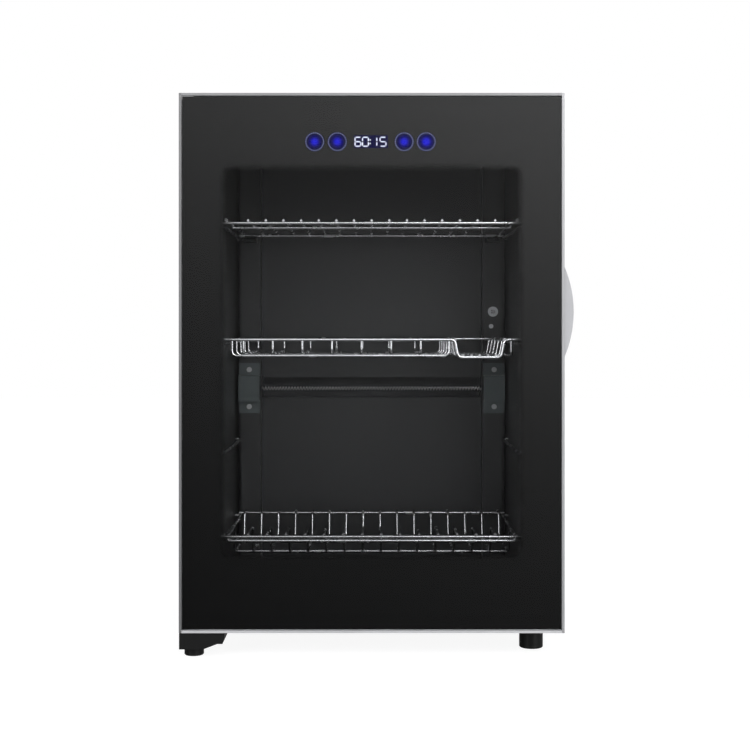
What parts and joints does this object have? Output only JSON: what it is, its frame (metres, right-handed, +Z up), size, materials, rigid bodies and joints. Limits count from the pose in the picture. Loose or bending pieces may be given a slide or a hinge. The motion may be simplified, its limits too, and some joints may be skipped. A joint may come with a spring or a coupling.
{
  "type": "dish sterilizer cabinet",
  "caption": "Counter-top dish sterilizer cabinet with a side-hinged glass door, wire racks, a chopstick trough, a drip tray and a quartz heater.",
  "frame": {"origin": "bottom centre of the whole object's bounding box, on the surface that it stands on", "axes": "+Z up, -Y towards the person in front of the door, +X to that person's right"},
  "size_m": [0.4608, 0.386, 0.66],
  "materials": {
    "black_shell": "satin black powder coat",
    "cavity_steel": "dark semi-gloss coated steel",
    "zinc_steel": "plain zinc-plated steel",
    "chrome_wire": "bright chrome plate",
    "frame_silver": "satin silver",
    "grip_grey": "light grey satin moulding",
    "clear_glass": "polished, lightly tinted",
    "quartz": "polished quartz",
    "black_print": "black printed film",
    "black_plastic": "black moulding",
    "light_guide": "blue-lit light guide",
    "display_face": "dark lit display",
    "soft_seal": "soft grey-black extrusion",
    "ceramic_cap": "unglazed white ceramic",
    "coil_metal": "resistance wire",
    "insulation": "pale fibre felt",
    "board_green": "green circuit board"
  },
  "bodies": {
    "cabinet": {"base_pan": "black_shell", "side_panel_left": "black_shell", "side_panel_right": "black_shell", "top_cover": "black_shell", "rear_cover": "black_shell", "rear_cover_screws": "zinc_steel", "face_frame": "black_shell", "insulation_left": "insulation", "insulation_right": "insulation", "liner_left_wall": "cavity_steel", "liner_right_wall": "cavity_steel", "liner_ceiling": "cavity_steel", "liner_floor": "cavity_steel", "liner_back_upper": "cavity_steel", "liner_back_lower": "cavity_steel", "rear_channel_left": "cavity_steel", "rear_channel_right": "cavity_steel", "rack_clips": "black_plastic", "ozone_outlet": "grip_grey", "ozone_generator": "black_plastic", "temperature_sensor": "zinc_steel", "heater_straps": "cavity_steel", "heater_screws": "zinc_steel", "quartz_tube": "quartz", "heater_end_caps": "ceramic_cap", "heater_coil": "coil_metal", "heater_reflector": "zinc_steel", "power_board": "board_green", "thermal_cutout": "black_plastic", "cord_gland": "black_plastic", "door_switch": "black_plastic", "upper_hinge_bracket": "zinc_steel", "lower_hinge_bracket": "black_plastic", "hinge_pins": "zinc_steel", "hinge_screws": "zinc_steel", "rear_feet": "black_plastic", "runners_left": "chrome_wire", "runners_right": "chrome_wire"},
    "door": {"door_frame_left": "frame_silver", "door_frame_right": "frame_silver", "door_frame_top": "frame_silver", "door_frame_bottom": "frame_silver", "door_glass": "clear_glass", "door_mask": "black_print", "key_lights": "light_guide", "display_module": "display_face", "control_board": "board_green", "door_inner_panel": "black_plastic", "door_inner_glass": "clear_glass", "door_gasket": "soft_seal", "door_handle": "grip_grey", "door_magnet": "zinc_steel", "hinge_bushes": "black_plastic"},
    "upper_rack_body": {"upper_rack": "chrome_wire"},
    "basket_body": {"middle_basket": "chrome_wire", "chopstick_trough": "chrome_wire"},
    "lower_rack_body": {"lower_rack": "chrome_wire"},
    "drip_tray_body": {"drip_tray": "cavity_steel"},
    "left_foot_body": {"foot_front_left": "black_plastic"},
    "right_foot_body": {"foot_front_right": "black_plastic"}
  },
  "joints": [
    {"name": "door_hinge", "type": "hinge", "parent": "cabinet", "child": "door", "pos_m": [-0.2204, -0.179, 0.345], "axis": [0, 0, -1], "range_deg": [0, 105]},
    {"name": "upper_rack_slide", "type": "slide", "parent": "cabinet", "child": "upper_rack_body", "axis": [0, -1, 0], "range_m": [0, 0.15]},
    {"name": "basket_slide", "type": "slide", "parent": "cabinet", "child": "basket_body", "axis": [0, -1, 0], "range_m": [0, 0.15]},
    {"name": "lower_rack_slide", "type": "slide", "parent": "cabinet", "child": "lower_rack_body", "axis": [0, -1, 0], "range_m": [0, 0.15]},
    {"name": "drip_tray_slide", "type": "slide", "parent": "cabinet", "child": "drip_tray_body", "axis": [0, -1, 0], "range_m": [0, 0.15]},
    {"name": "left_foot_turn", "type": "hinge", "parent": "cabinet", "child": "left_foot_body", "pos_m": [-0.2154, -0.169, 0], "axis": [0, 0, 1], "continuous": true},
    {"name": "right_foot_turn", "type": "hinge", "parent": "cabinet", "child": "right_foot_body", "pos_m": [0.1876, -0.13, 0], "axis": [0, 0, 1], "continuous": true}
  ],
  "couplings": [
    {"joint": "upper_rack_slide", "follows": "door_hinge", "m_per_rad": 0.05},
    {"joint": "basket_slide", "follows": "door_hinge", "m_per_rad": 0.05},
    {"joint": "lower_rack_slide", "follows": "door_hinge", "m_per_rad": 0.05},
    {"joint": "drip_tray_slide", "follows": "door_hinge", "m_per_rad": 0.04}
  ]
}
